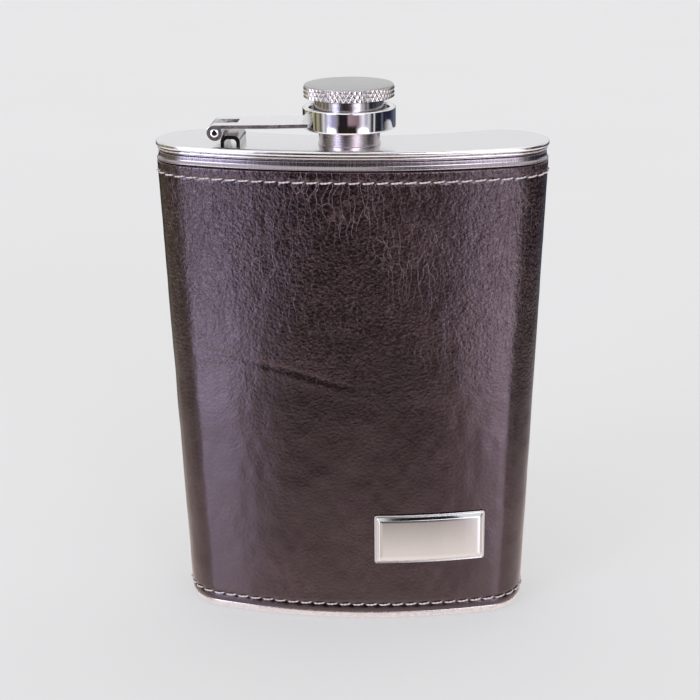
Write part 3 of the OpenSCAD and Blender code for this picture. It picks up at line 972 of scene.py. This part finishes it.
# The room that the metal mirrors between table and ceiling: degrees round from straight in front of
# the flask, rising to the right, with the colour there. The pale stops stand for windows and lit walls.
ROOM = (
    (-180, (0.07, 0.07, 0.08)), (-150, (0.04, 0.035, 0.025)), (-140, (0.04, 0.035, 0.02)),
    (-132, (0.45, 0.41, 0.30)), (-121, (0.04, 0.03, 0.02)), (-111, (0.36, 0.31, 0.19)),
    (-104, (0.04, 0.03, 0.015)), (-96, (0.60, 0.54, 0.36)), (-88, (0.05, 0.04, 0.02)),
    (-80, (0.42, 0.38, 0.27)), (-70, (0.10, 0.08, 0.05)), (-62, (0.75, 0.75, 0.78)),
    (-56, (0.38, 0.36, 0.42)), (-48, (0.85, 0.82, 1.05)), (-38, (0.42, 0.38, 0.62)),
    (-27, (0.30, 0.28, 0.30)), (-20, (0.02, 0.015, 0.02)), (-2, (0.02, 0.015, 0.02)),
    (3, (0.36, 0.24, 0.28)), (26, (0.24, 0.17, 0.20)), (38, (0.95, 0.90, 1.02)),
    (46, (0.45, 0.42, 0.50)), (54, (0.70, 0.68, 0.75)), (60, (0.05, 0.05, 0.06)),
    (65, (0.05, 0.05, 0.06)), (68, (1.0, 1.0, 1.0)), (71, (0.02, 0.02, 0.025)),
    (88, (0.015, 0.015, 0.03)), (92, (0.16, 0.16, 0.20)), (97, (0.015, 0.015, 0.03)),
    (125, (0.02, 0.02, 0.05)), (150, (0.12, 0.13, 0.18)),
)
CEILING = (1.08, 1.08, 1.08, 1)
TABLE = (1.25, 1.08, 1.02, 1)
BACKDROP = (0.84, 0.84, 0.85, 1)
DARK_CANOPY = (0.03, 0.02, 0.02, 1)
DARK_APRON = (0.02, 0.015, 0.015, 1)
DARK_CARD = (0.01, 0.01, 0.01, 1)
SEEN_BY_CAMERA = (0.775, 0.775, 0.79, 1)
LEFT_LIGHT, RIGHT_LIGHT = (2.6, 2.7, 3.45), (2.8, 2.7, 3.1)


def studio():
    """A plain pale backdrop for the camera, and a studio of soft light for all other rays.

    The metal mirrors a pale table below, a dark room, two softboxes in front and a bright ceiling.
    Heights run from -1, straight down, to 1, straight up.
    """
    world = bpy.data.worlds.new("studio")
    world.use_nodes = True
    world.node_tree.nodes.clear()
    p = Nodes(world.node_tree)
    towards = p.node("ShaderNodeTexCoord").outputs["Generated"]
    way = p.node("ShaderNodeSeparateXYZ", {"Vector": towards}).outputs
    # the way round, -0.5 to 0.5 of a turn, 0 in front of the flask and rising to the right
    turn = p.math("DIVIDE", p.math("ARCTAN2", way["X"], p.times(way["Y"], -1.0)), TAU)
    height = way["Z"]

    def above(value, low, edge):
        """1 above low and 0 under it, with a soft edge."""
        return p.spread(value, 0.0, 1.0, low - edge, low + edge, "SMOOTHSTEP")

    def below(value, high, edge):
        return p.spread(value, 1.0, 0.0, high - edge, high + edge, "SMOOTHSTEP")

    def between(value, low, high, edge):
        return p.times(above(value, low, edge), below(value, high, edge))

    def bearing(low, high, edge):
        """1 between two bearings, given in degrees."""
        return between(turn, low / 360, high / 360, edge / 360)

    room = p.ramp(p.plus(turn, 0.5), *[(degrees / 360 + 0.5, colour) for degrees, colour in ROOM])
    behind = above(way["Y"], 0.35, 0.25)
    seen = p.mixed(above(height, 0.42, 0.12), room, CEILING)
    seen = p.mixed(p.times(bearing(-30, 29, 3), between(height, -0.05, 0.42, 0.05)), seen, DARK_CANOPY)
    seen = p.mixed(p.times(bearing(-24, 22, 4), below(height, -0.17, 0.012)), seen, DARK_APRON)
    seen = p.mixed(p.times(bearing(6, 27, 1), between(height, 0.42, 0.9, 0.04)), seen, DARK_CARD)
    seen = p.mixed(p.times(behind, above(height, -0.02, 0.05)), seen, BACKDROP)
    seen = p.mixed(below(height, -0.39, 0.15), seen, TABLE)

    # each softbox has a low part, which fades on its way down, and a high one above the horizon
    low_top = -0.20
    over_low_top = p.plus(height, -low_top)
    fading = p.math("POWER", math.e, p.times(over_low_top, 8.0))
    low_part = p.times(p.times(below(height, low_top, 0.02), fading), 1.8)
    high_part = p.times(between(height, 0.05, 0.42, 0.04), 2.0)
    boxes = p.plus(low_part, high_part)
    # the right one leans outwards as it goes down
    leaning = p.plus(turn, p.times(over_low_top, 0.09))
    left_side = p.times(above(turn, -52 / 360, 3 / 360), below(turn, -32 / 360, 7 / 360))
    right_side = p.times(above(leaning, 28 / 360, 9 / 360), below(leaning, 50 / 360, 4 / 360))
    left_glow = p.vectors("SCALE", LEFT_LIGHT, p.times(boxes, left_side))
    right_glow = p.vectors("SCALE", RIGHT_LIGHT, p.times(boxes, right_side))
    lit = p.mixed(1.0, seen, p.vectors("ADD", left_glow, right_glow), "ADD")

    mirrored = p.node("ShaderNodeBackground", {"Color": lit}).outputs[0]
    plain = p.node("ShaderNodeBackground", {"Color": SEEN_BY_CAMERA}).outputs[0]
    from_camera = p.node("ShaderNodeLightPath").outputs["Is Camera Ray"]
    choice = p.node("ShaderNodeMixShader", {0: from_camera, 1: mirrored, 2: plain}).outputs[0]
    p.feed(p.node("ShaderNodeOutputWorld").inputs["Surface"], choice)
    bpy.context.scene.world = world


floor()
add_camera()
studio()
bpy.context.scene.view_settings.view_transform = "Standard"
